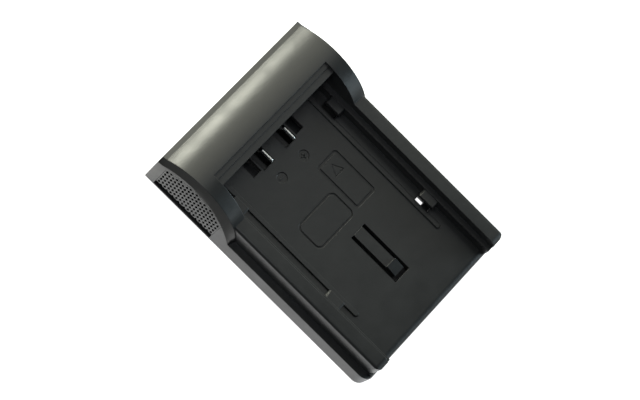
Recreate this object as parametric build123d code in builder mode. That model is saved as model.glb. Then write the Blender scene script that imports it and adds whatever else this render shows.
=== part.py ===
"""Charging plate for a camera battery: a moulded deck with a humped head, and what it holds inside.

Millimetres, +Z up. The origin lies under the middle of the plate, on the surface that it rests on.
The head is at +Y, and the battery slides in over the open end at -Y.
"""

import os
from math import sqrt, tan, radians

from build123d import *

os.makedirs("parts", exist_ok=True)

# Overall form
length = 80.0
base_width = 57.0
side_draft = 3.4
wall = 1.8
floor_height = 7.0
floor_thickness = 2.0
skirt_height = 6.2
base_corner = 3.0
end_round = 2.0

# Battery seat and its rails
seat_width = 41.2
ledge_width = 1.5
ledge_height = 3.9
rail_width = 4.0
rail_height = 7.0
rail_setback = 0.4
rail_corner = 2.0
rail_edge = 0.85

# Hooks that hold the battery down, with the openings under them
hook_bevel = 0.45
hook_reach = 2.3
hook_length = 5.4
hook_drop = 0.3
hook_thickness = 1.5
hook_first = 20.3
hook_second = 55.6
hook_opening_inset = 0.35
hook_opening_reach = 0.7

# Guide ribs on the floor
rib_gauge = 34.0
rib_width = 1.25
rib_height = 0.6
rib_end = 65.8
rib_groove = 0.28
rib_groove_depth = 0.5

# Humped head
hump_radius = 16.0
hump_rise = 13.9
hump_crest = 13.0
rim_depth = 1.5
rim_rise = 0.65
flank_outset = 0.3
flank_run = 2.4
flank_drop = 7.7
flank_rim_drop = 4.1
flank_foot_setback = 1.0
head_depth = 16.15
lip_width = 44.2
lip_step_depths = (3.4, 1.95)
lip_step_height = 0.55

# Perforated side panels
vent_rear = 3.0
vent_front = 23.6
vent_drop = 4.4
vent_sill = 0.6
vent_gap = 2.7
vent_depth = 3.6
panel_thickness = 1.1
panel_clearance = 0.06
hole_width = 0.92
hole_height = 1.75
hole_row_pitch = 1.06
hole_column_pitch = 2.1
hole_margin = 0.45

# Contacts, with the pockets in the floor around them
blade_gauge = 8.84
blade_thickness = 0.5
blade_reach = 5.25
blade_rise = 4.44
blade_step = 1.05
blade_root_rise = 1.6
blade_foot = 1.4
blade_depth = 4.0
blade_tail = 1.5
blade_nose = 0.8
blade_clearance = 0.05
inner_pocket = (2.4, 6.45, 5.4)
outer_pocket = (7.05, 10.0, 4.75)

# Marking panels sunk in the floor
panel_groove_depth = 0.4
arrow_panel = (4.25, 12.0, 31.1, 46.5)
arrow_panel_corner = 1.0
arrow_panel_groove = 0.75
label_panel = (-11.65, 3.0, 38.05, 46.95)
label_panel_corner = 1.9
label_panel_groove = 0.55

# Sprung catch cut free of the floor
catch_root = 50.55
catch_length = 15.5
catch_width = 3.4
catch_thickness = 1.6
catch_slot = 1.1
catch_end_gap = 1.3
catch_root_gap = 0.05
nub_length = 3.4
nub_height = 1.0
nub_toe = 0.2

# Base cover and its screws
cover_thickness = 1.6
cover_clearance = 0.1
boss_width = 4.6
screw_diameter = 2.0
screw_head = 3.8
screw_length = 4.4
screw_clearance = 0.05
screw_gauge = 44.0
screw_from_open_end = 7.0
screw_from_back = 31.0
drive_slot = 0.6
drive_length = 2.2
drive_depth = 0.5
dock_slot = (2.0, 4.8)
dock_slot_inset = 20.5
dock_slot_rear = 53.9
dock_window = (22.0, 6.5)
dock_window_rear = 8.5

# Circuit board and what it carries
board_width = 34.0
board_length = 24.0
board_thickness = 1.0
board_rear_gap = 1.0
board_rib_height = 0.6
board_rib_width = 1.5
dock_contact = (3.0, 4.6)
dock_contact_thickness = 0.3
dock_contact_pitch = 4.8
dock_contact_count = 4
block_width = 17.0
block_depth = 5.2
block_height = 9.2
block_clearance = 0.1
resistor = (3.2, 1.6, 0.6)
resistor_pitch = 3.0
resistor_count = 3
resistor_edge = 3.0

# Places that follow from those sizes
back = length / 2
open_end = -length / 2
rail_end = open_end + rail_setback
head_front = back - head_depth
seat_half = seat_width / 2
shoulder = seat_half + ledge_width
rail_outer = shoulder + rail_width
rail_top = floor_height + rail_height
floor_under = floor_height - floor_thickness
hump_y = back - hump_crest
hump_z = floor_height + hump_rise - hump_radius
hump_top = hump_z + hump_radius
headroom = hump_top + wall
cavity_half = base_width / 2 - floor_under * tan(radians(side_draft)) - wall
cavity_front = open_end + wall
cavity_rear = back - wall
board_z = cover_thickness + board_rib_height
board_top = board_z + board_thickness
board_rear = cavity_rear - board_rear_gap
block_front = head_front + wall + block_clearance
blade_top = floor_height + blade_rise
blade_root_top = floor_height + blade_root_rise
back_plane = Plane.XZ.offset(-back)


def side_width(z):
    """Half the width between the leaning side walls at height z."""
    return base_width / 2 - z * tan(radians(side_draft))


def hump_height(y, radius, drop):
    """Height of the hump's arc at y, for a radius and a drop below the hump itself."""
    return hump_z - drop + sqrt(radius**2 - (y - hump_y) ** 2)


def leaning_section(z_low, z_high, inset):
    """Section between the side walls, from one height to another, set in by a thickness."""
    with BuildSketch(back_plane) as section:
        with BuildLine():
            Polyline(
                (-side_width(z_low) + inset, z_low),
                (side_width(z_low) - inset, z_low),
                (side_width(z_high) - inset, z_high),
                (-side_width(z_high) + inset, z_high),
                close=True,
            )
        make_face()
    return section.sketch


def arched_face(y_front, y_rear, z_foot, radius, drop):
    """Side view of a space under the hump's arc, between two places along the plate."""
    front_top = (y_front, hump_height(y_front, radius, drop))
    rear_top = (y_rear, hump_height(y_rear, radius, drop))
    with BuildSketch(Plane.YZ) as face:
        with BuildLine():
            Polyline(front_top, (y_front, z_foot), (y_rear, z_foot), rear_top)
            ThreePointArc(rear_top, (hump_y, hump_z - drop + radius), front_top)
        make_face()
    return face.sketch


def floor_rectangle(x_low, x_high, y_low, y_high, corner=0.0):
    """Rectangle on the table plane between four limits, with round corners if asked for."""
    with BuildSketch() as rectangle:
        with Locations(((x_low + x_high) / 2, (y_low + y_high) / 2)):
            if corner:
                RectangleRounded(x_high - x_low, y_high - y_low, corner)
            else:
                Rectangle(x_high - x_low, y_high - y_low)
    return rectangle.sketch


def raised(sketch, z):
    """The same sketch at another height."""
    return sketch.moved(Location((0, 0, z)))


def finish(piece, name):
    """Label a finished piece and write it to its own file."""
    piece.part.label = name
    export_step(piece.part, f"parts/{name}.step")


def hump_view(x, foot, crest, rim, edge_height):
    """Side view of the hump at x, from its foot over its crest to the rim along the back edge."""
    with BuildSketch(Plane.YZ.offset(x)) as view:
        with BuildLine():
            Polyline(foot, (foot[0], 0), (back, 0), (back, edge_height), rim)
            ThreePointArc(rim, crest, foot)
        make_face()
    return view.sketch


def end_rounded(height):
    """Side view of the base up to a height, with a round upper edge at the open end."""
    with BuildSketch(Plane.YZ) as view:
        with Locations((0, height / 2)):
            Rectangle(length, height)
        fillet(view.vertices().group_by(Axis.X)[0].sort_by(Axis.Y)[-1:], radius=end_round)
    return view.sketch


# Head: the hump across the rails, with lofted flanks that run out to the leaning side walls
rim_y = back - rim_depth
rim_z = hump_height(rim_y, hump_radius, 0)
hump_foot = hump_y - sqrt(hump_radius**2 - (skirt_height - hump_z) ** 2)
flank_start = rail_outer + flank_outset
flank_rim_z = rim_z - flank_rim_drop
hump_places = ((hump_foot, skirt_height), (hump_y, hump_top), (rim_y, rim_z), rim_z - rim_rise)
flank_places = (
    (hump_foot + flank_foot_setback, skirt_height),
    (hump_y, hump_top - flank_drop),
    (rim_y, flank_rim_z),
    flank_rim_z,
)
seat_floor = floor_rectangle(-seat_half, seat_half, open_end, head_front)
seat_shoulders = floor_rectangle(-shoulder, shoulder, open_end, head_front)
lip_top = hump_height(head_front, hump_radius, 0)
with BuildPart() as head_form:
    flank_inner = hump_view(flank_start, *hump_places)
    flank_outer = hump_view(flank_start + flank_run, *flank_places)
    loft([flank_inner, flank_outer], ruled=True)
    mirror(about=Plane.YZ)
    extrude(hump_view(0, *hump_places), amount=flank_start, both=True)
    extrude(leaning_section(0, headroom, 0), amount=length, mode=Mode.INTERSECT)
    extrude(raised(seat_floor, floor_height), amount=headroom, mode=Mode.SUBTRACT)
    extrude(
        raised(seat_shoulders, floor_height + ledge_height), amount=headroom, mode=Mode.SUBTRACT
    )
    for step, depth in enumerate(lip_step_depths, start=1):
        step_face = floor_rectangle(-lip_width / 2, lip_width / 2, head_front, head_front + depth)
        extrude(raised(step_face, lip_top - step * lip_step_height), amount=wall, mode=Mode.SUBTRACT)

# Base: a skirt with leaning walls and round corners, and the floor between the rails
with BuildPart() as skirt_form:
    extrude(leaning_section(0, skirt_height, 0), amount=length)
    end_edges = skirt_form.edges().group_by(Axis.Y)[0].sort_by(Axis.X)
    fillet([end_edges[0], end_edges[-1]], radius=base_corner)
    extrude(end_rounded(skirt_height), amount=base_width, both=True, mode=Mode.INTERSECT)
with BuildPart() as floor_form:
    extrude(end_rounded(floor_height), amount=rail_outer, both=True)

# One rail with its inner ledge, its hooks and its guide rib
hook_rows = [back - place - hook_length / 2 for place in (hook_first, hook_second)]
hook_top = floor_height + ledge_height - hook_drop
rib_y_end = back - rib_end
rib_y_root = head_front + rib_width


def rib_slot(side, margin):
    """Outline of one guide rib, which runs in under the head, with a margin all round."""
    with BuildSketch() as slot:
        with Locations((side * rib_gauge / 2, (rib_y_root + rib_y_end) / 2)):
            SlotOverall(rib_y_root - rib_y_end + 2 * margin, rib_width + 2 * margin, rotation=90)
    return slot.sketch


with BuildPart() as rail_form:
    with BuildSketch(back_plane) as rail_section:
        with Locations((shoulder + rail_width / 2, floor_under + (rail_top - floor_under) / 2)):
            Rectangle(rail_width, rail_top - floor_under)
        fillet(rail_section.vertices().group_by(Axis.Y)[-1].sort_by(Axis.X)[-1:], radius=rail_edge)
        ledge_middle = (floor_under + floor_height + ledge_height) / 2
        with Locations((shoulder - ledge_width / 2, ledge_middle)):
            Rectangle(ledge_width, ledge_height + floor_thickness)
    extrude(amount=length)
    with BuildSketch() as rail_plan:
        with Locations(((seat_half + rail_outer) / 2, (back + rail_end) / 2)):
            Rectangle(rail_outer - seat_half, back - rail_end)
        fillet(rail_plan.vertices().group_by(Axis.Y)[0].sort_by(Axis.X)[-1:], radius=rail_corner)
    extrude(amount=rail_top, mode=Mode.INTERSECT)
    with BuildSketch(Plane.YZ) as rail_side:
        with Locations(((back + rail_end) / 2, rail_top / 2)):
            Rectangle(back - rail_end, rail_top)
        fillet(rail_side.vertices().group_by(Axis.X)[0].sort_by(Axis.Y)[-1:], radius=end_round)
    extrude(amount=base_width, mode=Mode.INTERSECT)
    for row in hook_rows:
        with BuildSketch(Plane.YZ.offset(seat_half - hook_reach)) as hook_side:
            with Locations((row, hook_top - hook_thickness / 2)):
                Rectangle(hook_length, hook_thickness)
            chamfer(hook_side.vertices().group_by(Axis.Y)[-1], length=hook_bevel)
        extrude(amount=hook_reach)
    extrude(raised(rib_slot(1, 0), floor_under), amount=floor_thickness + rib_height)
    mirror(about=Plane.YZ)

# Outline of the side vents, and places of the screws and the catch
vent_y_front = back - vent_front
vent_y_rear = back - vent_rear
panel_foot = vent_sill + vent_gap
vent_face = arched_face(vent_y_front, vent_y_rear, vent_sill, hump_radius, vent_drop)
vent_floor = side_width(0) - vent_depth
head_cavity = arched_face(head_front + wall, cavity_rear, 0, hump_radius - wall, 0)
screw_rows = (open_end + screw_from_open_end, back - screw_from_back)
screw_places = [(side * screw_gauge / 2, y) for side in (-1, 1) for y in screw_rows]
catch_y = back - catch_root
catch_tip = catch_y - catch_length
catch_well = floor_rectangle(
    -catch_width / 2 - catch_slot,
    catch_width / 2 + catch_slot,
    catch_tip - catch_end_gap,
    catch_y,
)

# Deck: base, rails and head as one moulding, hollow underneath
with BuildPart() as deck_shell:
    add(skirt_form.part)
    add(floor_form.part)
    add(rail_form.part)
    add(head_form.part)

    # Hollow under the floor and inside the head, with bosses for the cover's screws
    cavity = floor_rectangle(-cavity_half, cavity_half, cavity_front, cavity_rear, base_corner)
    extrude(cavity, amount=floor_under, mode=Mode.SUBTRACT)
    extrude(head_cavity, amount=vent_floor + panel_clearance, both=True, mode=Mode.SUBTRACT)
    for side in (-1, 1):
        vent_pocket = vent_face.moved(Location((side * vent_floor, 0, 0)))
        extrude(vent_pocket, amount=base_width, dir=(side, 0, 0), mode=Mode.SUBTRACT)
    with BuildSketch(Plane.XY.offset(cover_thickness)):
        with Locations(*screw_places):
            Rectangle(boss_width, boss_width)
            Circle(screw_diameter / 2 + screw_clearance, mode=Mode.SUBTRACT)
    extrude(amount=floor_under - cover_thickness)

    # Openings under the hooks, and a groove along the outer side of each guide rib
    for side in (-1, 1):
        for row in hook_rows:
            half = hook_length / 2 - hook_opening_inset
            near = side * (seat_half - hook_reach - hook_opening_reach)
            far = side * seat_half
            opening = floor_rectangle(min(near, far), max(near, far), row - half, row + half)
            extrude(raised(opening, floor_under), amount=floor_thickness, mode=Mode.SUBTRACT)
        with BuildSketch(Plane.XY.offset(floor_height - rib_groove_depth)):
            add(rib_slot(side, rib_groove))
            add(rib_slot(side, 0), mode=Mode.SUBTRACT)
            middle = side * rib_gauge / 2
            far = side * seat_half
            outer_floor = floor_rectangle(min(middle, far), max(middle, far), open_end, head_front)
            add(outer_floor, mode=Mode.INTERSECT)
        extrude(amount=rib_groove_depth, mode=Mode.SUBTRACT)

    # Contact pockets, with a slit in the head's front wall for each blade
    for side in (-1, 1):
        for near, far, reach in (inner_pocket, outer_pocket):
            pocket = floor_rectangle(
                min(side * near, side * far),
                max(side * near, side * far),
                head_front - reach,
                head_front,
            )
            extrude(raised(pocket, floor_under), amount=floor_thickness, mode=Mode.SUBTRACT)
        slit_half = blade_thickness / 2 + blade_clearance
        slit_x = side * blade_gauge / 2
        slit = floor_rectangle(slit_x - slit_half, slit_x + slit_half, head_front, head_front + wall)
        slit_height = blade_root_top + blade_clearance - floor_under
        extrude(raised(slit, floor_under), amount=slit_height, mode=Mode.SUBTRACT)

    # Sunk outlines of the marking panels, and the well round the catch
    for panel, corner, groove in (
        (arrow_panel, arrow_panel_corner, arrow_panel_groove),
        (label_panel, label_panel_corner, label_panel_groove),
    ):
        x_low, x_high, from_rear, to_rear = panel
        with BuildSketch(Plane.XY.offset(floor_height - panel_groove_depth)):
            with Locations(((x_low + x_high) / 2, back - (from_rear + to_rear) / 2)):
                RectangleRounded(x_high - x_low, to_rear - from_rear, corner)
                offset(amount=-groove, kind=Kind.INTERSECTION, mode=Mode.SUBTRACT)
        extrude(amount=panel_groove_depth, mode=Mode.SUBTRACT)
    extrude(raised(catch_well, floor_under), amount=floor_thickness, mode=Mode.SUBTRACT)
finish(deck_shell, "deck_shell")

# Catch: a tongue of the floor with a ramped nub, free to bend down about its root
with BuildPart() as latch_finger:
    with BuildSketch(Plane.YZ):
        with BuildLine():
            Polyline(
                (catch_y - catch_root_gap, floor_height),
                (catch_y - catch_root_gap, floor_height - catch_thickness),
                (catch_tip, floor_height - catch_thickness),
                (catch_tip, floor_height + nub_toe),
                (catch_tip + nub_length, floor_height + nub_height),
                (catch_tip + nub_length, floor_height),
                close=True,
            )
        make_face()
    extrude(amount=catch_width / 2, both=True)
finish(latch_finger, "latch_finger")

# Perforated panels: staggered rows of holes between the vent's frame and its open foot
panel_face = arched_face(
    vent_y_front + panel_clearance,
    vent_y_rear - panel_clearance,
    panel_foot,
    hump_radius,
    vent_drop + panel_clearance,
)
hole_outline = [
    (0, hole_height / 2),
    (-hole_width / 2, 0),
    (0, -hole_height / 2),
    (hole_width / 2, 0),
]
panel_length = vent_front - vent_rear
hole_rows = int(panel_length / hole_row_pitch)
hole_columns = int((hump_top - panel_foot) / hole_column_pitch) + 1
hole_places = [
    (
        vent_y_front + (panel_length - (hole_rows - 1) * hole_row_pitch) / 2 + row * hole_row_pitch,
        panel_foot + (column + (row + 1) % 2 / 2) * hole_column_pitch,
    )
    for row in range(hole_rows)
    for column in range(hole_columns)
]
hole_places = [
    (y, z) for y, z in hole_places if z < hump_height(y, hump_radius, vent_drop) - hole_margin
]


def vent_panel(side):
    """One perforated panel, level with the leaning side wall it closes."""
    with BuildPart() as panel:
        extrude(panel_face, amount=base_width / 2, dir=(side, 0, 0))
        extrude(leaning_section(0, headroom, 0), amount=length, mode=Mode.INTERSECT)
        extrude(
            leaning_section(0, headroom, panel_thickness), amount=length, mode=Mode.SUBTRACT
        )
        with BuildSketch(Plane.YZ):
            with Locations(*hole_places):
                Polygon(*hole_outline, align=None)
        extrude(amount=side * base_width / 2, mode=Mode.SUBTRACT)
    return panel


finish(vent_panel(-1), "side_grille_left")
finish(vent_panel(1), "side_grille_right")


def contact_blade(side):
    """One upright contact: a blade that stands out of the head, and a tail down to the board."""
    with BuildPart() as blade:
        with BuildSketch(Plane.YZ.offset(side * blade_gauge / 2)) as outline:
            with BuildLine():
                Polyline(
                    (head_front - blade_reach, floor_height - blade_foot),
                    (block_front + blade_depth - blade_tail, floor_height - blade_foot),
                    (block_front + blade_depth - blade_tail, board_top),
                    (block_front + blade_depth, board_top),
                    (block_front + blade_depth, blade_root_top),
                    (head_front - blade_step, blade_root_top),
                    (head_front - blade_step, blade_top),
                    (head_front - blade_reach, blade_top),
                    close=True,
                )
            make_face()
            fillet(outline.vertices().group_by(Axis.X)[0].sort_by(Axis.Y)[-1:], radius=blade_nose)
        extrude(amount=blade_thickness / 2, both=True)
    return blade


finish(contact_blade(-1), "contact_blade_negative")
finish(contact_blade(1), "contact_blade_positive")

# Terminal block: stands on the board behind the front wall and grips the blades
with BuildPart() as terminal_block:
    block = floor_rectangle(-block_width / 2, block_width / 2, block_front, block_front + block_depth)
    extrude(raised(block, board_top), amount=block_height)
    for side in (-1, 1):
        half = blade_thickness / 2 + blade_clearance
        x = side * blade_gauge / 2
        slot = floor_rectangle(
            x - half, x + half, block_front, block_front + blade_depth + blade_clearance
        )
        slot_height = blade_root_top + blade_clearance - board_top
        extrude(raised(slot, board_top), amount=slot_height, mode=Mode.SUBTRACT)
finish(terminal_block, "terminal_block")

# Circuit board, the resistors that code the battery type, and the docking contacts under it
board_y = board_rear - board_length / 2
with BuildPart() as circuit_board:
    with Locations((0, board_y, board_z)):
        Box(board_width, board_length, board_thickness, align=(Align.CENTER, Align.CENTER, Align.MIN))
finish(circuit_board, "circuit_board")

resistor_y = board_rear - board_length + resistor_edge
with BuildPart() as coding_resistors:
    with BuildSketch(Plane.XY.offset(board_top)):
        with Locations((0, resistor_y)):
            with GridLocations(resistor_pitch + resistor[0], 0, resistor_count, 1):
                Rectangle(resistor[0], resistor[1])
    extrude(amount=resistor[2])
finish(coding_resistors, "coding_resistors")

dock_y = back - dock_window_rear - dock_window[1] / 2
with BuildPart() as docking_contacts:
    with BuildSketch(Plane.XY.offset(board_z - dock_contact_thickness)):
        with Locations((0, dock_y)):
            with GridLocations(dock_contact_pitch, 0, dock_contact_count, 1):
                Rectangle(*dock_contact)
    extrude(amount=dock_contact_thickness)
finish(docking_contacts, "docking_contacts")

# Base cover: closes the underside, with slots for the charger's hooks and a window for its pins
cover_half = cavity_half - cover_clearance
with BuildPart() as base_cover:
    cover_plan = floor_rectangle(
        -cover_half,
        cover_half,
        cavity_front + cover_clearance,
        cavity_rear - cover_clearance,
        base_corner,
    )
    extrude(cover_plan, amount=cover_thickness)
    with BuildSketch(Plane.XY.offset(cover_thickness)):
        with Locations((0, board_y)):
            with GridLocations(board_width - board_rib_width, 0, 2, 1):
                Rectangle(board_rib_width, board_length)
    extrude(amount=board_rib_height)
    with BuildSketch():
        with Locations((0, back - dock_slot_rear - dock_slot[1] / 2)):
            with GridLocations(2 * dock_slot_inset, 0, 2, 1):
                Rectangle(*dock_slot)
        with Locations((0, dock_y)):
            Rectangle(*dock_window)
    extrude(amount=cover_thickness, mode=Mode.SUBTRACT)
    with Locations(*[Location((x, y, 0), (180, 0, 0)) for x, y in screw_places]):
        CounterSinkHole(
            screw_diameter / 2 + screw_clearance,
            screw_head / 2 + screw_clearance,
            depth=cover_thickness,
            counter_sink_angle=90,
        )
finish(base_cover, "base_cover")

# Countersunk screws that hold the cover to the deck's bosses
screw_cone = (screw_head - screw_diameter) / 2
with BuildPart() as screw_form:
    with BuildSketch(Plane.XZ):
        with BuildLine():
            Polyline(
                (0, 0),
                (screw_head / 2, 0),
                (screw_diameter / 2, screw_cone),
                (screw_diameter / 2, screw_length),
                (0, screw_length),
                close=True,
            )
        make_face()
    revolve(axis=Axis.Z)
    with BuildSketch():
        Rectangle(drive_length, drive_slot)
        Rectangle(drive_slot, drive_length)
    extrude(amount=drive_depth, mode=Mode.SUBTRACT)
with BuildPart() as cover_screws:
    with Locations(*[(x, y, 0) for x, y in screw_places]):
        add(screw_form.part)
finish(cover_screws, "cover_screws")
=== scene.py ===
import math

import bmesh
import bpy
import numpy as np
from bpy.props import FloatProperty, FloatVectorProperty, IntProperty, PointerProperty
from bpy.types import Operator, Panel, PropertyGroup
from mathutils import Matrix, Vector


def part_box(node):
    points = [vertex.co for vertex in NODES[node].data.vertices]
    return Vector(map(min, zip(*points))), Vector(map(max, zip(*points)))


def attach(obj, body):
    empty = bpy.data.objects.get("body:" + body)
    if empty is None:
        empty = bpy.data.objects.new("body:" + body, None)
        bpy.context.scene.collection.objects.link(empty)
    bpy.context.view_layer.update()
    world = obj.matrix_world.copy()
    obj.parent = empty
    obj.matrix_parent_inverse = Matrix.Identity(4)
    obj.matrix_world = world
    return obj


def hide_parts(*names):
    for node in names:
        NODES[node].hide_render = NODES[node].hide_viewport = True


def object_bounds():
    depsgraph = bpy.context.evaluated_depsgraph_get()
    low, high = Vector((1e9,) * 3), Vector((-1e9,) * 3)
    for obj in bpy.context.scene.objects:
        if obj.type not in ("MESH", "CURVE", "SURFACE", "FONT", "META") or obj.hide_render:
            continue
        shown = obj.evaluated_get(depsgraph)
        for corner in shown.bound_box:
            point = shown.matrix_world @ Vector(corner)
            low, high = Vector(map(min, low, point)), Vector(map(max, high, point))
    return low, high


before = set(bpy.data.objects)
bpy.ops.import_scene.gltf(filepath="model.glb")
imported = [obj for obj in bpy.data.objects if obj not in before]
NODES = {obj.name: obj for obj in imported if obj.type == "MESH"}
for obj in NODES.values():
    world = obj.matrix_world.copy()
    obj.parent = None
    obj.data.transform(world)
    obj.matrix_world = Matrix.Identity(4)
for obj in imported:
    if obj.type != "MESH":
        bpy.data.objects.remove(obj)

bl_info = {
    "name": "Charging Plate Finish",
    "version": (1, 0, 0),
    "blender": (4, 5, 0),
    "location": "View3D > Sidebar > Charging Plate",
    "description": "Finishes, markings, stage and camera for a camera battery charging plate",
    "category": "Object",
}

CAD_BOX = [list(corner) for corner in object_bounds()]
POLES = ("negative", "positive")
MM = 0.001

# Corners closer than this are one, faces within the flat angle are one, and sharper edges stay sharp
MERGE_STEP = 1e-7
FLAT_ANGLE = math.radians(0.4)
SHARP_ANGLE = math.radians(14)

# Sockets of a colour Mix node: its factor, its two colours and its result
MIX_FACTOR, MIX_LOW, MIX_HIGH, MIX_RESULT = 0, 6, 7, 2

# Middle range of a noise, which a value's range is spread over
NOISE_RANGE = (0.3, 0.7)

# Darkest and palest share of a colour: mottled plastic and tarnished metal
MOTTLE_SHARES = (0.88, 1.12)
TARNISH_SHARES = (0.86, 1.06)

# Share of its colour that metal keeps in its painted shade below a height, and the height over which that
# painted shade fades in
PAINTED_SHADE_SHARE = 0.03
PAINTED_SHADE_FADE = 0.4 * MM

# Lowest and highest roughness, and how many times paler rubbed edges are
DECK_SHEEN = ((0.3, 0.38), 1.6)
COVER_SHEEN = ((0.5, 0.62), 1.5)

# Plastic pieces inside: finish, colour, roughness and rubbed edges
INNER_PLASTICS = {
    "terminal_block": ("Matt block plastic", (0.012, 0.012, 0.013), (0.5, 0.6), 1.4),
    "circuit_board": ("Black board laminate", (0.012, 0.013, 0.014), (0.3, 0.4), 1.2),
    "coding_resistors": ("Dark resistor glaze", (0.02, 0.02, 0.024), (0.25, 0.4), 1.3),
}

# Metal pieces: finish, colour and roughness, and the roughness of the blades
SCREW_STEEL = ("Black oxide steel", (0.09, 0.09, 0.095), (0.3, 0.42))
PAD_GOLD = ("Thin gold plating", (0.9, 0.66, 0.3), (0.18, 0.28))
BLADE_ROUGHNESS = (0.38, 0.44)

# Polarity signs: name and bars by contact, depth as a share of their disc's, and roundness of a bar
SIGN_BARS = {"negative": ("minus_sign", [(1, 0)]), "positive": ("plus_sign", [(1, 0), (0, 1)])}
SIGN_ROOT = 1.2
BAR_POWER = 0.3

# Photograph's frame, in which the camera was placed
FRAME_WIDTH = 640
SENSOR_WIDTH = 36.0

# Direction and tint of the ceiling's glow, and the tint of the room round it
CEILING = Vector((0.6, 0.76, 0.25))
CEILING_TINT = (1.0, 1.0, 0.87)
ROOM_TINT = (0.85, 0.97, 1.2)

# Table: half its width, and its gap below the plate
TABLE_REACH = 3.0
TABLE_GAP = 0.1 * MM

# Point that the lights face
LIGHT_AIM = (0, 0, 10 * MM)

# Softboxes: place, size and tint of each
SOFTBOXES = {
    "rear": ((0.114, 0.36, 0.113), (0.068, 0.155), (0.99, 1.0, 0.85)),
    "front": ((0.7, -0.6, 0.25), (0.5, 0.4), (0.76, 0.93, 1.0)),
    "low": ((0.45, -0.85, 0.14), (0.5, 0.25), (0.85, 0.96, 1.0)),
    "top": ((0.36, 0.06, 0.88), (0.3, 0.3), (0.88, 0.93, 1.0)),
    "left": ((-0.25, 0.15, 0.9), (0.4, 0.4), (0.94, 0.97, 1.0)),
}


class PlasticFinish(PropertyGroup):
    """Colours and surface of the moulded plastics"""

    deck_colour: FloatVectorProperty(
        name="Deck Colour",
        description="Satin black of the deck, the catch and the vent panels",
        subtype="COLOR",
        size=3,
        min=0,
        max=1,
        default=(0.016, 0.017, 0.0175),
    )
    cover_colour: FloatVectorProperty(
        name="Cover Colour",
        description="Matt black of the base cover",
        subtype="COLOR",
        size=3,
        min=0,
        max=1,
        default=(0.016, 0.016, 0.0167),
    )
    grain_size: FloatProperty(
        name="Grain Size",
        description="Spacing of the spark-eroded grain that the mould leaves",
        subtype="DISTANCE",
        unit="LENGTH",
        default=0.16 * MM,
    )
    sink_depth: FloatProperty(
        name="Sink Depth",
        description="Height of the slight waviness that cooling leaves under the grain",
        subtype="DISTANCE",
        unit="LENGTH",
        default=0.05 * MM,
    )
    grain_depth: FloatProperty(
        name="Grain Depth",
        description="Height of the spark-eroded grain",
        subtype="DISTANCE",
        unit="LENGTH",
        default=0.008 * MM,
    )
    edge_round: FloatProperty(
        name="Edge Round",
        description="Radius of the soft edge that moulded corners show",
        subtype="DISTANCE",
        unit="LENGTH",
        default=0.2 * MM,
    )


class MetalFinish(PropertyGroup):
    """Colours and edges of the metal pieces"""

    plating_colour: FloatVectorProperty(
        name="Plating Colour",
        description="Bright nickel of the contact blades",
        subtype="COLOR",
        size=3,
        min=0,
        max=1,
        default=(0.96, 0.95, 0.92),
    )
    blade_round: FloatProperty(
        name="Blade Round",
        description="Width of the rounded edge along a blade",
        subtype="DISTANCE",
        unit="LENGTH",
        default=0.16 * MM,
    )
    blade_nose: FloatProperty(
        name="Blade Nose",
        description="How far below a blade's top its edges are rounded",
        subtype="DISTANCE",
        unit="LENGTH",
        default=0.9 * MM,
    )
    # Height below a blade's top at which the painted shade on the blade begins
    painted_shade_height: FloatProperty(
        name="Rubbed Height",
        description="How far below a blade's top the battery rubs it bright",
        subtype="DISTANCE",
        unit="LENGTH",
        default=1.2 * MM,
    )
    blade_segments: IntProperty(
        name="Blade Segments",
        description="Steps across the rounded edge of a blade",
        default=4,
        min=1,
        max=8,
    )


class MarkSizes(PropertyGroup):
    """Sunken signs on the seat floor"""

    depth: FloatProperty(
        name="Depth",
        description="How deep the signs are sunk",
        subtype="DISTANCE",
        unit="LENGTH",
        default=0.3 * MM,
    )
    draft: FloatProperty(
        name="Draft",
        description="How far the wall of a sunken sign leans in towards its bottom",
        subtype="DISTANCE",
        unit="LENGTH",
        default=0.05 * MM,
    )
    line_width: FloatProperty(
        name="Line Width",
        description="Width of the groove round the arrow",
        subtype="DISTANCE",
        unit="LENGTH",
        default=0.26 * MM,
    )
    line_depth: FloatProperty(
        name="Line Depth",
        description="Depth of that groove",
        subtype="DISTANCE",
        unit="LENGTH",
        default=0.16 * MM,
    )
    disc_radius: FloatProperty(
        name="Disc Radius",
        description="Radius of the sunken disc round each polarity sign",
        subtype="DISTANCE",
        unit="LENGTH",
        default=1.5 * MM,
    )
    disc_from_blade: FloatProperty(
        name="Disc Distance",
        description="From the front edge of a contact to the middle of its disc",
        subtype="DISTANCE",
        unit="LENGTH",
        default=4.86 * MM,
    )
    bar_size: FloatVectorProperty(
        name="Bar Size",
        description="Length and width of a bar of a polarity sign",
        subtype="TRANSLATION",
        unit="LENGTH",
        size=2,
        default=(1.7 * MM, 0.36 * MM),
    )
    arrow_place: FloatVectorProperty(
        name="Arrow Place",
        description="Middle of the arrow's base on the floor",
        subtype="TRANSLATION",
        unit="LENGTH",
        size=2,
        default=(8.17 * MM, 3.65 * MM),
    )
    arrow_size: FloatVectorProperty(
        name="Arrow Size",
        description="Half the arrow's width, and its length",
        subtype="TRANSLATION",
        unit="LENGTH",
        size=2,
        default=(1.55 * MM, 2.95 * MM),
    )


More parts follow.
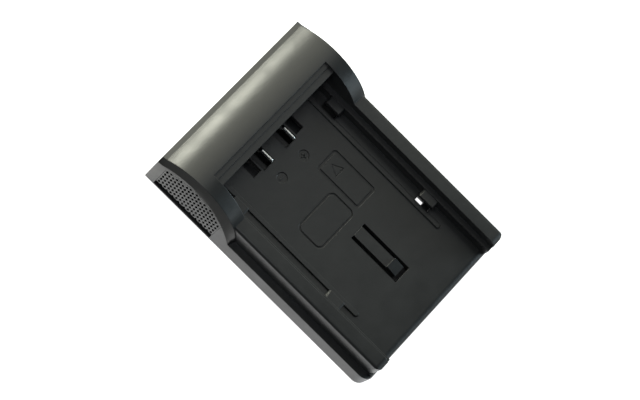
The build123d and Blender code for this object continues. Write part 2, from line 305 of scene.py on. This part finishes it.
class StageSetup(PropertyGroup):
    """Floor, lights and camera"""

    floor_colour: FloatVectorProperty(
        name="Floor Colour",
        description="Pale table that the plate lies on",
        subtype="COLOR",
        size=3,
        min=0,
        max=1,
        default=(0.8, 0.8, 0.8),
    )
    floor_glow: FloatProperty(
        name="Floor Glow",
        description="How much of white the table shows by itself, below its lit part",
        default=1.0,
        min=0,
        max=1,
    )
    floor_fade: FloatVectorProperty(
        name="Reflection Fade",
        description="How far from the plate the table starts to fade in reflections, and has faded",
        subtype="TRANSLATION",
        unit="LENGTH",
        size=2,
        default=(4 * MM, 11 * MM),
    )
    floor_far: FloatProperty(
        name="Far Reflection",
        description="Share of the table's brightness that reflections show far from the plate",
        default=0.2,
        min=0,
        max=1,
    )
    room: FloatProperty(
        name="Room",
        description="Brightness of the dark room in front and at the sides",
        default=0.05,
        min=0,
    )
    ceiling_glow: FloatProperty(
        name="Ceiling Glow",
        description="Brightness of the pale ceiling behind the head",
        default=2.05,
        min=0,
    )
    ceiling_edges: FloatVectorProperty(
        name="Ceiling Edges",
        description="Angles from the middle of that glow at which it starts to fade, and has faded",
        subtype="EULER",
        size=2,
        default=(math.radians(36), math.radians(72.5)),
    )
    rear_light: FloatProperty(
        name="Rear Softbox",
        description="Power of the low softbox behind the head",
        unit="POWER",
        default=0.88,
        min=0,
    )
    front_light: FloatProperty(
        name="Front Softbox",
        description="Power of the softbox in front on the right",
        unit="POWER",
        default=5.7,
        min=0,
    )
    low_light: FloatProperty(
        name="Low Softbox",
        description="Power of the weak softbox low in front",
        unit="POWER",
        default=0.6,
        min=0,
    )
    top_light: FloatProperty(
        name="Top Softbox",
        description="Power of the small softbox above",
        unit="POWER",
        default=0.17,
        min=0,
    )
    left_light: FloatProperty(
        name="Left Softbox",
        description="Power of the softbox high on the left",
        unit="POWER",
        default=1.2,
        min=0,
    )
    camera_place: FloatVectorProperty(
        name="Camera Place",
        description="Where the camera stands",
        subtype="TRANSLATION",
        unit="LENGTH",
        size=3,
        default=(-224.617 * MM, 37.856 * MM, 618.125 * MM),
    )
    camera_target: FloatVectorProperty(
        name="Camera Target",
        description="Point in the middle of the picture",
        subtype="TRANSLATION",
        unit="LENGTH",
        size=3,
        default=(-1.359 * MM, 2.406 * MM, 7.0 * MM),
    )
    camera_roll: FloatProperty(
        name="Camera Roll",
        description="Turn of the camera about its line of sight",
        subtype="ANGLE",
        default=math.radians(-45.158),
    )
    focal_pixels: FloatProperty(
        name="Focal Length",
        description="Focal length in pixels of the picture's width",
        default=2455.96,
    )


class PlateSettings(PropertyGroup):
    """All settings of the charging plate"""

    plastic: PointerProperty(type=PlasticFinish)
    metal: PointerProperty(type=MetalFinish)
    marks: PointerProperty(type=MarkSizes)
    stage: PointerProperty(type=StageSetup)


def settings():
    """The plate's settings on the open scene."""
    return bpy.context.scene.charging_plate


# Shader node groups


def new_group(name, inputs, outputs):
    """An empty shader node group with float, vector or colour sockets, and its two end nodes."""
    tree = bpy.data.node_groups.new(name, "ShaderNodeTree")
    for label, kind, default in inputs:
        socket = tree.interface.new_socket(label, in_out="INPUT", socket_type=kind)
        if default is not None:
            socket.default_value = default
    for label, kind in outputs:
        tree.interface.new_socket(label, in_out="OUTPUT", socket_type=kind)
    return tree, tree.nodes.new("NodeGroupInput"), tree.nodes.new("NodeGroupOutput")


def put(tree, kind, links=(), **values):
    """A node with its settings, input values by socket name or number, and links from other sockets."""
    node = tree.nodes.new(kind)
    for label, value in values.items():
        setattr(node, label, value)
    for label, source in links:
        if isinstance(source, bpy.types.NodeSocket):
            tree.links.new(source, node.inputs[label])
        else:
            node.inputs[label].default_value = source
    return node


def maths(tree, operation, *values):
    """The result of a Math node on values or sockets."""
    return put(tree, "ShaderNodeMath", enumerate(values), operation=operation).outputs[0]


def moulded_grain_group():
    """Spark-eroded grain: small cells of two sizes for the height, and a broad mottle of the sheen."""
    if "Moulded Grain" in bpy.data.node_groups:
        return bpy.data.node_groups["Moulded Grain"]
    tree, start, end = new_group(
        "Moulded Grain",
        [
            ("Position", "NodeSocketVector", None),
            ("Grain Scale", "NodeSocketFloat", 6000.0),
            ("Mottle Scale", "NodeSocketFloat", 160.0),
        ],
        [("Height", "NodeSocketFloat"), ("Mottle", "NodeSocketFloat")],
    )
    position, grain_scale, mottle_scale = start.outputs[:3]
    fine = put(
        tree,
        "ShaderNodeTexNoise",
        [("Vector", position), ("Scale", grain_scale), ("Detail", 2.0), ("Roughness", 0.6)],
    )
    cells = put(
        tree,
        "ShaderNodeTexVoronoi",
        [("Vector", position), ("Scale", grain_scale), ("Randomness", 1.0)],
        feature="SMOOTH_F1",
    )
    height = maths(tree, "ADD", fine.outputs[0], cells.outputs["Distance"])
    mottle = put(
        tree,
        "ShaderNodeTexNoise",
        [("Vector", position), ("Scale", mottle_scale), ("Detail", 4.0), ("Roughness", 0.65)],
    )
    tree.links.new(height, end.inputs["Height"])
    tree.links.new(mottle.outputs[0], end.inputs["Mottle"])
    return tree


def soft_edge_group():
    """Soft edges: the rounded normal, and how far it turns from the true one, broken up by a fine noise."""
    if "Soft Edge" in bpy.data.node_groups:
        return bpy.data.node_groups["Soft Edge"]
    tree, start, end = new_group(
        "Soft Edge",
        [("Position", "NodeSocketVector", None), ("Radius", "NodeSocketFloat", 0.16 * MM)],
        [("Rubbed", "NodeSocketFloat"), ("Normal", "NodeSocketVector")],
    )
    position, radius = start.outputs[:2]
    rounded = put(tree, "ShaderNodeBevel", [("Radius", radius)], samples=6)
    geometry = put(tree, "ShaderNodeNewGeometry")
    turn = put(
        tree,
        "ShaderNodeVectorMath",
        [(0, rounded.outputs[0]), (1, geometry.outputs["Normal"])],
        operation="DOT_PRODUCT",
    )
    spread = put(
        tree,
        "ShaderNodeMapRange",
        [("Value", turn.outputs["Value"]), ("From Min", 0.98), ("From Max", 0.8)],
    )
    broken = put(
        tree,
        "ShaderNodeTexNoise",
        [("Vector", position), ("Scale", 900.0), ("Detail", 3.0)],
    )
    rubbed = maths(tree, "MULTIPLY", spread.outputs[0], broken.outputs[0])
    tree.links.new(rubbed, end.inputs["Rubbed"])
    tree.links.new(rounded.outputs[0], end.inputs["Normal"])
    return tree


def drawn_metal_group():
    """Drawn metal: fine lines along Y, from a noise that is squeezed across them."""
    if "Drawn Metal" in bpy.data.node_groups:
        return bpy.data.node_groups["Drawn Metal"]
    tree, start, end = new_group(
        "Drawn Metal",
        [("Position", "NodeSocketVector", None), ("Line Scale", "NodeSocketFloat", 4000.0)],
        [("Lines", "NodeSocketFloat"), ("Tarnish", "NodeSocketFloat")],
    )
    position, line_scale = start.outputs[:2]
    squeezed = put(
        tree,
        "ShaderNodeMapping",
        [("Vector", position), ("Scale", (1.0, 0.06, 1.0))],
    )
    lines = put(
        tree,
        "ShaderNodeTexNoise",
        [("Vector", squeezed.outputs[0]), ("Scale", line_scale), ("Detail", 3.0)],
    )
    tarnish = put(
        tree,
        "ShaderNodeTexNoise",
        [("Vector", position), ("Scale", 420.0), ("Detail", 4.0), ("Roughness", 0.6)],
    )
    tree.links.new(lines.outputs[0], end.inputs["Lines"])
    tree.links.new(tarnish.outputs[0], end.inputs["Tarnish"])
    return tree


# Materials


def new_material(name):
    """A material, its node tree, its Principled shader and its Object coordinates."""
    material = bpy.data.materials.new(name)
    material.use_nodes = True
    tree = material.node_tree
    shader = tree.nodes["Principled BSDF"]
    place = put(tree, "ShaderNodeTexCoord").outputs["Object"]
    return material, tree, shader, place


def use_group(tree, group, **inputs):
    """A shader node group placed in a material, with its inputs by label."""
    links = [(label.replace("_", " ").title(), source) for label, source in inputs.items()]
    return put(tree, "ShaderNodeGroup", links, node_tree=group)


def blend_colours(tree, factor, low, high):
    """A colour between two colours or sockets, by a factor that changes over the surface."""
    ends = [end if isinstance(end, bpy.types.NodeSocket) else (*end, 1) for end in (low, high)]
    links = zip((MIX_FACTOR, MIX_LOW, MIX_HIGH), (factor, *ends))
    return put(tree, "ShaderNodeMix", links, data_type="RGBA").outputs[MIX_RESULT]


def spread_value(tree, source, low, high):
    """A value carried from a noise's middle range to the range given."""
    start, stop = NOISE_RANGE
    node = put(
        tree,
        "ShaderNodeMapRange",
        [("Value", source), ("From Min", start), ("From Max", stop), ("To Min", low), ("To Max", high)],
    )
    return node.outputs[0]


def scaled(colour, share):
    """A colour made lighter or darker by one share."""
    return tuple(min(1.0, channel * share) for channel in colour)


def moulded_plastic(name, colour, roughness, edge_lift):
    """Moulded plastic: grained, a little mottled, and paler where its edges are rubbed."""
    if name in bpy.data.materials:
        return bpy.data.materials[name]
    plastic = settings().plastic
    material, tree, shader, place = new_material(name)
    grain = use_group(
        tree, moulded_grain_group(), position=place, grain_scale=1 / plastic.grain_size
    )
    edge = use_group(tree, soft_edge_group(), position=place, radius=plastic.edge_round)
    shades = [scaled(colour, share) for share in MOTTLE_SHARES]
    body = blend_colours(tree, grain.outputs["Mottle"], *shades)
    edged = blend_colours(tree, edge.outputs["Rubbed"], body, scaled(colour, edge_lift))
    tree.links.new(edged, shader.inputs["Base Color"])
    low, high = roughness
    tree.links.new(spread_value(tree, grain.outputs["Mottle"], low, high), shader.inputs["Roughness"])
    waves = put(
        tree,
        "ShaderNodeBump",
        [
            ("Height", grain.outputs["Mottle"]),
            ("Distance", plastic.sink_depth),
            ("Strength", 1.0),
            ("Normal", edge.outputs["Normal"]),
        ],
    )
    bump = put(
        tree,
        "ShaderNodeBump",
        [
            ("Height", grain.outputs["Height"]),
            ("Distance", plastic.grain_depth),
            ("Strength", 0.6),
            ("Normal", waves.outputs[0]),
        ],
    )
    tree.links.new(bump.outputs[0], shader.inputs["Normal"])
    shader.inputs["IOR"].default_value = 1.5
    return material


def plated_metal(name, colour, roughness, line_scale=4000.0, painted_shade_below=None):
    """Plated or oxidised metal: drawn lines in its gloss and a faint tarnish in its colour.

    Where a height is given, the colour below it is painted shade: a small share of the colour, for the part
    that sits in shadow.
    """
    if name in bpy.data.materials:
        return bpy.data.materials[name]
    material, tree, shader, place = new_material(name)
    drawn = use_group(tree, drawn_metal_group(), position=place, line_scale=line_scale)
    shades = [scaled(colour, share) for share in TARNISH_SHARES]
    tint = blend_colours(tree, drawn.outputs["Tarnish"], *shades)
    if painted_shade_below is not None:
        height = put(tree, "ShaderNodeSeparateXYZ", [("Vector", place)]).outputs["Z"]
        # 1 on the blade's top, 0 below the height, where the colour is painted shade
        rubbed = put(
            tree,
            "ShaderNodeMapRange",
            [("Value", height), ("From Min", painted_shade_below - PAINTED_SHADE_FADE), ("From Max", painted_shade_below)],
        )
        tint = blend_colours(tree, rubbed.outputs[0], scaled(colour, PAINTED_SHADE_SHARE), tint)
    tree.links.new(tint, shader.inputs["Base Color"])
    low, high = roughness
    tree.links.new(spread_value(tree, drawn.outputs["Lines"], low, high), shader.inputs["Roughness"])
    shader.inputs["Metallic"].default_value = 1.0
    return material


def finish_node(node, material):
    """Give a CAD node its finish in place."""
    slots = NODES[node].data.materials
    slots.clear()
    slots.append(material)


# Mesh helpers


def new_piece(name, mesh, material, body):
    """An object at the origin that shows a mesh, takes a finish and rides on a body."""
    piece = bpy.data.objects.new(name, mesh)
    bpy.context.scene.collection.objects.link(piece)
    mesh.materials.append(material)
    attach(piece, body)
    return piece


def prism(bottom, top, low, high):
    """A closed prism between two outlines with as many points each, at two heights."""
    count = len(bottom)
    points = np.concatenate(
        [np.column_stack([bottom, np.full(count, low)]), np.column_stack([top, np.full(count, high)])]
    )
    here = np.arange(count)
    after = (here + 1) % count
    walls = np.stack([here, after, after + count, here + count], axis=1)
    faces = [tuple(wall) for wall in walls]
    faces += [tuple(here[::-1]), tuple(here + count)]
    return points, faces


def sunken(outline, middle, depth, draft, floor):
    """The form that a sign takes out of the floor: its outline, drawn in by the draft at the bottom.

    A bottom point lies at middle + (p - middle) * (1 - draft / r), with r the mean distance of the
    outline from its middle; the form goes on upwards at the same slope, clear of the floor.
    """
    away = outline - middle
    lean = draft / np.linalg.norm(away, axis=1).mean()
    return prism(middle + away * (1 - lean), middle + away * (1 + lean), floor - depth, floor + depth)


def triangle_groove(corners, half_width, depth, floor):
    """The form of a V groove along a triangle, with its point at the groove's bottom.

    A line at a distance t outside the triangle is the triangle scaled by 1 + t / r about its incentre,
    with r the inradius. The sides of the V meet the floor at t = half_width and -half_width, and go on
    above it.
    """
    sides = np.linalg.norm(np.roll(corners, -1, axis=0) - np.roll(corners, 1, axis=0), axis=1)
    incentre = (sides[:, None] * corners).sum(axis=0) / sides.sum()
    across = np.roll(corners, -1, axis=0) - corners
    twice_area = abs(across[0, 0] * across[1, 1] - across[0, 1] * across[1, 0])
    inradius = twice_area / sides.sum()
    rings = []
    lines = ((2 * half_width, floor + depth), (0, floor - depth), (-2 * half_width, floor + depth))
    for t, height in lines:
        line = incentre + (corners - incentre) * (1 + t / inradius)
        rings.append(np.column_stack([line, np.full(3, height)]))
    ring, corner = np.meshgrid(np.arange(3), np.arange(3), indexing="ij")
    here = 3 * ring + corner
    ahead = 3 * ring + (corner + 1) % 3
    after = (here + 3) % 9
    beyond = (ahead + 3) % 9
    faces = np.stack([here, ahead, beyond, after], axis=-1).reshape(-1, 4)
    return np.concatenate(rings), faces


def circle(middle, radius, count=64):
    """Points of a circle in the floor plane."""
    turn = np.linspace(0, 2 * np.pi, count, endpoint=False)
    return middle + radius * np.stack([np.cos(turn), np.sin(turn)], axis=1)


def round_bar(middle, along, half_length, half_width, count=32):
    """Outline of a bar with soft corners: a superellipse about its middle.

    A point at turn u lies at half_length * c along the bar and half_width * s across it, with the
    cosine c and the sine s of u raised to the bar's power, each with its own sign.
    """
    u = np.linspace(0, 2 * np.pi, count, endpoint=False)
    long = half_length * np.sign(np.cos(u)) * np.abs(np.cos(u)) ** BAR_POWER
    wide = half_width * np.sign(np.sin(u)) * np.abs(np.sin(u)) ** BAR_POWER
    direction = np.array(along, float)
    side = np.array([-direction[1], direction[0]])
    return middle + long[:, None] * direction + wide[:, None] * side


def mesh_of(name, parts):
    """One mesh from several point and face arrays, with its faces turned outwards."""
    points, faces, count = [], [], 0
    for part_points, part_faces in parts:
        points.append(part_points)
        faces += [tuple(int(i) + count for i in face) for face in part_faces]
        count += len(part_points)
    mesh = bpy.data.meshes.new(name)
    mesh.from_pydata(np.concatenate(points).tolist(), [], faces)
    bm = bmesh.new()
    bm.from_mesh(mesh)
    bmesh.ops.recalc_face_normals(bm, faces=bm.faces)
    bm.to_mesh(mesh)
    bm.free()
    return mesh


def merged_copy(node):
    """A mesh with a CAD node's shape, in which triangles that meet share their corners."""
    source = NODES[node].data
    corner = np.empty(len(source.vertices) * 3)
    source.vertices.foreach_get("co", corner)
    corner = corner.reshape(-1, 3)
    steps, place = np.unique(np.round(corner / MERGE_STEP), axis=0, return_inverse=True)
    place = place.reshape(-1)
    faces = [tuple(int(place[i]) for i in face.vertices) for face in source.polygons]
    mesh = bpy.data.meshes.new(node)
    mesh.from_pydata((steps * MERGE_STEP).tolist(), [], [face for face in faces if len(set(face)) == 3])
    return mesh


def cut_out(mesh, forms):
    """A mesh with closed forms taken out of it, one after the other."""
    scene = bpy.context.scene
    holder = bpy.data.objects.new(mesh.name, mesh)
    scene.collection.objects.link(holder)
    cutters = []
    for number, form in enumerate(forms):
        cutter = bpy.data.objects.new(f"form {number}", mesh_of(f"form {number}", [form]))
        scene.collection.objects.link(cutter)
        cutters.append(cutter)
        cut = holder.modifiers.new(cutter.name, "BOOLEAN")
        cut.object = cutter
        cut.operation = "DIFFERENCE"
        cut.solver = "EXACT"
    depsgraph = bpy.context.evaluated_depsgraph_get()
    result = bpy.data.meshes.new_from_object(holder.evaluated_get(depsgraph))
    for helper in (holder, *cutters):
        bpy.data.objects.remove(helper)
    return result


def smooth_but_for_edges(mesh):
    """Smooth shading that stops at edges sharper than the sharp angle."""
    mesh.shade_smooth()
    mesh.set_sharp_from_angle(angle=SHARP_ANGLE)


def sign_middle(pole):
    """Middle of a polarity sign on the floor, in front of its contact."""
    low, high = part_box(f"contact_blade_{pole}")
    return np.array([(low.x + high.x) / 2, low.y - settings().marks.disc_from_blade])


def floor_level():
    """Height of the seat floor: the top of the catch without its nub is level with it."""
    heights = np.array([vertex.co.z for vertex in NODES["latch_finger"].data.vertices])
    return float(np.sort(np.unique(np.round(heights, 6)))[1])


def round_upper_edges(mesh, width, segments, reach):
    """Join the triangles of each flat face, and round the sharp edges within a reach below the top."""
    bm = bmesh.new()
    bm.from_mesh(mesh)
    bmesh.ops.dissolve_limit(bm, angle_limit=FLAT_ANGLE, verts=bm.verts, edges=bm.edges)
    top = max(vertex.co.z for vertex in bm.verts)
    upper = [
        edge
        for edge in bm.edges
        if min(vertex.co.z for vertex in edge.verts) > top - reach
        and edge.calc_face_angle(0) > SHARP_ANGLE
    ]
    bmesh.ops.bevel(bm, geom=upper, offset=width, segments=segments, profile=0.5, affect="EDGES")
    bm.to_mesh(mesh)
    bm.free()


# Steps


class PLATE_OT_deck(Operator):
    """Show the deck with its sunken signs, and finish the sprung catch and the vent panels"""

    bl_idname = "charging_plate.deck"
    bl_label = "Deck, Catch and Vents"

    def execute(self, context):
        plastic = settings().plastic
        marks = settings().marks
        floor = floor_level()
        satin = moulded_plastic("Satin deck plastic", tuple(plastic.deck_colour), *DECK_SHEEN)
        for node in ("latch_finger", "side_grille_left", "side_grille_right"):
            finish_node(node, satin)
        forms = []
        for pole in POLES:
            middle = sign_middle(pole)
            outline = circle(middle, marks.disc_radius)
            forms.append(sunken(outline, middle, marks.depth, marks.draft, floor))
        half, reach = marks.arrow_size
        arrow = np.array(marks.arrow_place) + np.array([(-half, 0), (half, 0), (0, reach)])
        forms.append(triangle_groove(arrow, marks.line_width / 2, marks.line_depth, floor))
        mesh = cut_out(merged_copy("deck_shell"), forms)
        smooth_but_for_edges(mesh)
        deck = new_piece("deck", mesh, satin, "plate")
        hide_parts("deck_shell")
        return {"FINISHED"}


class PLATE_OT_base(Operator):
    """Finish the base cover and its screws"""

    bl_idname = "charging_plate.base"
    bl_label = "Base Cover and Screws"

    def execute(self, context):
        colour = tuple(settings().plastic.cover_colour)
        finish_node("base_cover", moulded_plastic("Matt cover plastic", colour, *COVER_SHEEN))
        finish_node("cover_screws", plated_metal(*SCREW_STEEL))
        return {"FINISHED"}


class PLATE_OT_contacts(Operator):
    """Show the two contact blades with rounded edges"""

    bl_idname = "charging_plate.contacts"
    bl_label = "Contact Blades"

    def execute(self, context):
        metal = settings().metal
        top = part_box("contact_blade_negative")[1].z
        # Below this height the blade gets painted shade in place of its nickel colour
        nickel = plated_metal(
            "Bright nickel plating",
            tuple(metal.plating_colour),
            BLADE_ROUGHNESS,
            painted_shade_below=top - metal.painted_shade_height,
        )
        for pole in POLES:
            node = f"contact_blade_{pole}"
            mesh = merged_copy(node)
            round_upper_edges(mesh, metal.blade_round, metal.blade_segments, metal.blade_nose)
            smooth_but_for_edges(mesh)
            blade = new_piece(f"blade_{pole}", mesh, nickel, "plate")
            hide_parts(node)
        return {"FINISHED"}


class PLATE_OT_inner_parts(Operator):
    """Finish the terminal block, the circuit board and what the board carries"""

    bl_idname = "charging_plate.inner_parts"
    bl_label = "Inner Parts"

    def execute(self, context):
        for node, finish in INNER_PLASTICS.items():
            finish_node(node, moulded_plastic(*finish))
        finish_node("docking_contacts", plated_metal(*PAD_GOLD))
        return {"FINISHED"}


class PLATE_OT_polarity_signs(Operator):
    """Raise the minus and plus signs in their sunken discs"""

    bl_idname = "charging_plate.polarity_signs"
    bl_label = "Polarity Signs"

    def execute(self, context):
        marks = settings().marks
        floor = floor_level()
        satin = NODES["latch_finger"].data.materials[0]
        half_length, half_width = np.array(marks.bar_size) / 2
        for pole, (name, bars) in SIGN_BARS.items():
            middle = sign_middle(pole)
            outlines = [round_bar(middle, along, half_length, half_width) for along in bars]
            parts = [prism(line, line, floor - SIGN_ROOT * marks.depth, floor) for line in outlines]
            mesh = mesh_of(name, parts)
            smooth_but_for_edges(mesh)
            new_piece(name, mesh, satin, "plate")
        return {"FINISHED"}


# Stage


def floor_material(stage):
    """Pale table: lit from above, and near white by itself where the camera or a reflection sees it.

    In reflections its brightness falls from 1 near the plate to floor_far, by the distance that a point
    lies outside the plate's own outline.
    """
    material = bpy.data.materials.new("Pale table")
    material.use_nodes = True
    tree = material.node_tree
    tree.nodes.clear()
    end = put(tree, "ShaderNodeOutputMaterial")
    path = put(tree, "ShaderNodeLightPath")
    place = put(tree, "ShaderNodeTexCoord").outputs["Object"]
    low, high = (Vector(corner) for corner in CAD_BOX)
    folded = put(tree, "ShaderNodeVectorMath", [(0, place)], operation="ABSOLUTE")
    beyond = put(
        tree,
        "ShaderNodeVectorMath",
        [(0, folded.outputs[0]), (1, (high - low) / 2)],
        operation="SUBTRACT",
    )
    outside = put(
        tree,
        "ShaderNodeVectorMath",
        [(0, beyond.outputs[0]), (1, (0, 0, 0))],
        operation="MAXIMUM",
    )
    distance = put(tree, "ShaderNodeVectorMath", [(0, outside.outputs[0])], operation="LENGTH")
    start, stop = stage.floor_fade
    fade = put(
        tree,
        "ShaderNodeMapRange",
        [
            ("Value", distance.outputs["Value"]),
            ("From Min", start),
            ("From Max", stop),
            ("To Min", 0.0),
            ("To Max", 1 - stage.floor_far),
        ],
        interpolation_type="SMOOTHSTEP",
    )
    loss = maths(tree, "MULTIPLY", fade.outputs[0], path.outputs["Is Glossy Ray"])
    share = maths(tree, "SUBTRACT", 1.0, loss)
    lit_colour = put(
        tree,
        "ShaderNodeVectorMath",
        [(0, tuple(stage.floor_colour)), ("Scale", share)],
        operation="SCALE",
    )
    lit = put(tree, "ShaderNodeBsdfDiffuse", [("Color", lit_colour.outputs[0])])
    seen = maths(tree, "MAXIMUM", path.outputs["Is Camera Ray"], path.outputs["Is Glossy Ray"])
    seen = maths(tree, "MAXIMUM", seen, path.outputs["Is Transmission Ray"])
    white = maths(tree, "MULTIPLY", seen, stage.floor_glow)
    glow = put(tree, "ShaderNodeEmission", [("Strength", maths(tree, "MULTIPLY", white, share))])
    both = put(tree, "ShaderNodeAddShader", [(0, lit.outputs[0]), (1, glow.outputs[0])])
    tree.links.new(both.outputs[0], end.inputs["Surface"])
    return material


def set_world(stage):
    """Studio room: dark, with a pale ceiling that fades with the angle from the middle of its glow."""
    world = bpy.data.worlds.new("Studio room")
    bpy.context.scene.world = world
    world.use_nodes = True
    tree = world.node_tree
    direction = put(tree, "ShaderNodeTexCoord").outputs["Generated"]
    closeness = put(
        tree,
        "ShaderNodeVectorMath",
        [(0, direction), (1, CEILING.normalized())],
        operation="DOT_PRODUCT",
    )
    angle = maths(tree, "ARCCOSINE", closeness.outputs["Value"])
    start, stop = stage.ceiling_edges
    fade = put(
        tree,
        "ShaderNodeMapRange",
        [("Value", angle), ("From Min", start), ("From Max", stop)],
        interpolation_type="SMOOTHSTEP",
    )
    ceiling = [stage.ceiling_glow * channel for channel in CEILING_TINT]
    room = [stage.room * channel for channel in ROOM_TINT]
    shade = blend_colours(tree, fade.outputs[0], ceiling, room)
    tree.links.new(shade, tree.nodes["Background"].inputs["Color"])


def softbox(name, place, size, power, colour):
    """A rectangular area light that faces the plate."""
    lamp = bpy.data.lights.new(name, "AREA")
    lamp.shape = "RECTANGLE"
    lamp.size, lamp.size_y = size
    lamp.energy = power
    lamp.color = colour
    holder = bpy.data.objects.new(name, lamp)
    bpy.context.scene.collection.objects.link(holder)
    holder.location = place
    holder.rotation_euler = (Vector(LIGHT_AIM) - Vector(place)).to_track_quat("-Z", "Y").to_euler()


def set_camera(stage):
    """Camera at the photograph's viewpoint, rolled about its line of sight."""
    place = Vector(stage.camera_place)
    sight = (Vector(stage.camera_target) - place).normalized()
    across = sight.cross(Vector((0, 1, 0))).normalized()
    above = across.cross(sight)
    c, s = math.cos(stage.camera_roll), math.sin(stage.camera_roll)
    right = across * c + above * s
    up = above * c - across * s
    data = bpy.data.cameras.new("Camera")
    data.sensor_width = SENSOR_WIDTH
    data.lens = stage.focal_pixels * SENSOR_WIDTH / FRAME_WIDTH
    camera = bpy.data.objects.new("Camera", data)
    turned = Matrix((right, up, -sight)).transposed()
    camera.matrix_world = Matrix.Translation(place) @ turned.to_4x4()
    bpy.context.scene.collection.objects.link(camera)
    bpy.context.scene.camera = camera


class PLATE_OT_stage(Operator):
    """Set the table, the studio light and the camera"""

    bl_idname = "charging_plate.stage"
    bl_label = "Stage"

    def execute(self, context):
        stage = settings().stage
        context.scene.view_settings.view_transform = "Standard"
        corner = np.array([(-1, -1, 0), (1, -1, 0), (1, 1, 0), (-1, 1, 0)], float) * TABLE_REACH
        corner[:, 2] = -TABLE_GAP
        mesh = bpy.data.meshes.new("table")
        mesh.from_pydata(corner.tolist(), [], [(0, 1, 2, 3)])
        mesh.materials.append(floor_material(stage))
        table = bpy.data.objects.new("table", mesh)
        context.scene.collection.objects.link(table)
        set_world(stage)
        for name, (place, size, tint) in SOFTBOXES.items():
            softbox(f"{name} softbox", place, size, getattr(stage, f"{name}_light"), tint)
        set_camera(stage)
        return {"FINISHED"}


OPERATORS = (
    PLATE_OT_deck,
    PLATE_OT_base,
    PLATE_OT_contacts,
    PLATE_OT_inner_parts,
    PLATE_OT_polarity_signs,
    PLATE_OT_stage,
)


class PLATE_PT_sidebar(Panel):
    """Lists the plate's finishing steps and their settings"""

    bl_idname = "PLATE_PT_sidebar"
    bl_label = "Charging Plate"
    bl_space_type = "VIEW_3D"
    bl_region_type = "UI"
    bl_category = "Charging Plate"

    def draw(self, context):
        for operator in OPERATORS:
            self.layout.operator(operator.bl_idname)
        for group in (settings().plastic, settings().metal, settings().marks, settings().stage):
            box = self.layout.box()
            for label in group.__annotations__:
                box.prop(group, label)


CLASSES = (PlasticFinish, MetalFinish, MarkSizes, StageSetup, PlateSettings, *OPERATORS, PLATE_PT_sidebar)


def register():
    for item in CLASSES:
        bpy.utils.register_class(item)
    bpy.types.Scene.charging_plate = PointerProperty(type=PlateSettings)


def unregister():
    del bpy.types.Scene.charging_plate
    for item in reversed(CLASSES):
        bpy.utils.unregister_class(item)


def main():
    """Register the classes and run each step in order."""
    register()
    for operator in OPERATORS:
        group, step = operator.bl_idname.split(".")
        getattr(getattr(bpy.ops, group), step)()


if __name__ == "__main__":
    main()
